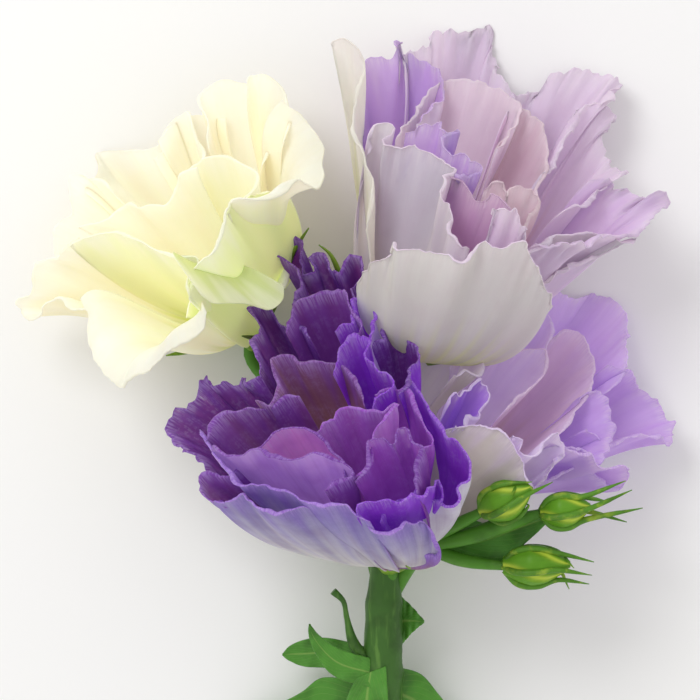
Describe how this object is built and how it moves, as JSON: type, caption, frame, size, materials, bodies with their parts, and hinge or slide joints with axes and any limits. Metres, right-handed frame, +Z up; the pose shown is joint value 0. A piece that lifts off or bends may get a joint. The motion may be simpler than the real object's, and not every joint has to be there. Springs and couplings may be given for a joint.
{
  "type": "lisianthus flower spray",
  "caption": "Cut spray of double lisianthus lying face up: ruffled cream, pale lavender and violet blooms, closed buds, leaves and a bundle of stems that ends in a straight cut.",
  "frame": {"origin": "on the surface that the spray lies on, under the middle of its outline", "axes": "+Z up, out of the blooms' faces; +Y along the stems from the cut end to the blooms; +X to the right seen from above with the blooms at the far end"},
  "size_m": [0.1615, 0.2382, 0.0841],
  "materials": {
    "violet_petal": "deep violet petal with paler, frosted ruffled edges, satin",
    "pale_petal": "pale lavender petal fading to greyish white, satin",
    "cream_petal": "cream petal with a yellow-green throat, satin",
    "lavender_petal": "lavender petal with violet edges and grey-white outside, satin",
    "bud": "fresh green bud with yellow-green stripes",
    "calyx": "green calyx, satin",
    "stem": "grey-green stem with pale streaks, satin",
    "leaf": "green leaf with a paler midrib, satin"
  },
  "bodies": {
    "root": {"violet_bloom": "violet_petal", "pale_bloom": "pale_petal", "cream_bloom": "cream_petal", "lavender_bloom": "lavender_petal", "bud_round": "bud", "bud_side": "bud", "bud_low": "bud", "cream_calyx": "calyx", "pale_calyx": "calyx", "violet_calyx": "calyx", "lavender_calyx": "calyx", "stems": "stem", "bract": "leaf", "leaf_left_upper": "leaf", "leaf_left_round": "leaf", "leaf_low_left": "leaf", "leaf_right_upper": "leaf", "leaf_low_right": "leaf", "leaf_front": "leaf", "stub": "stem"}
  },
  "joints": []
}
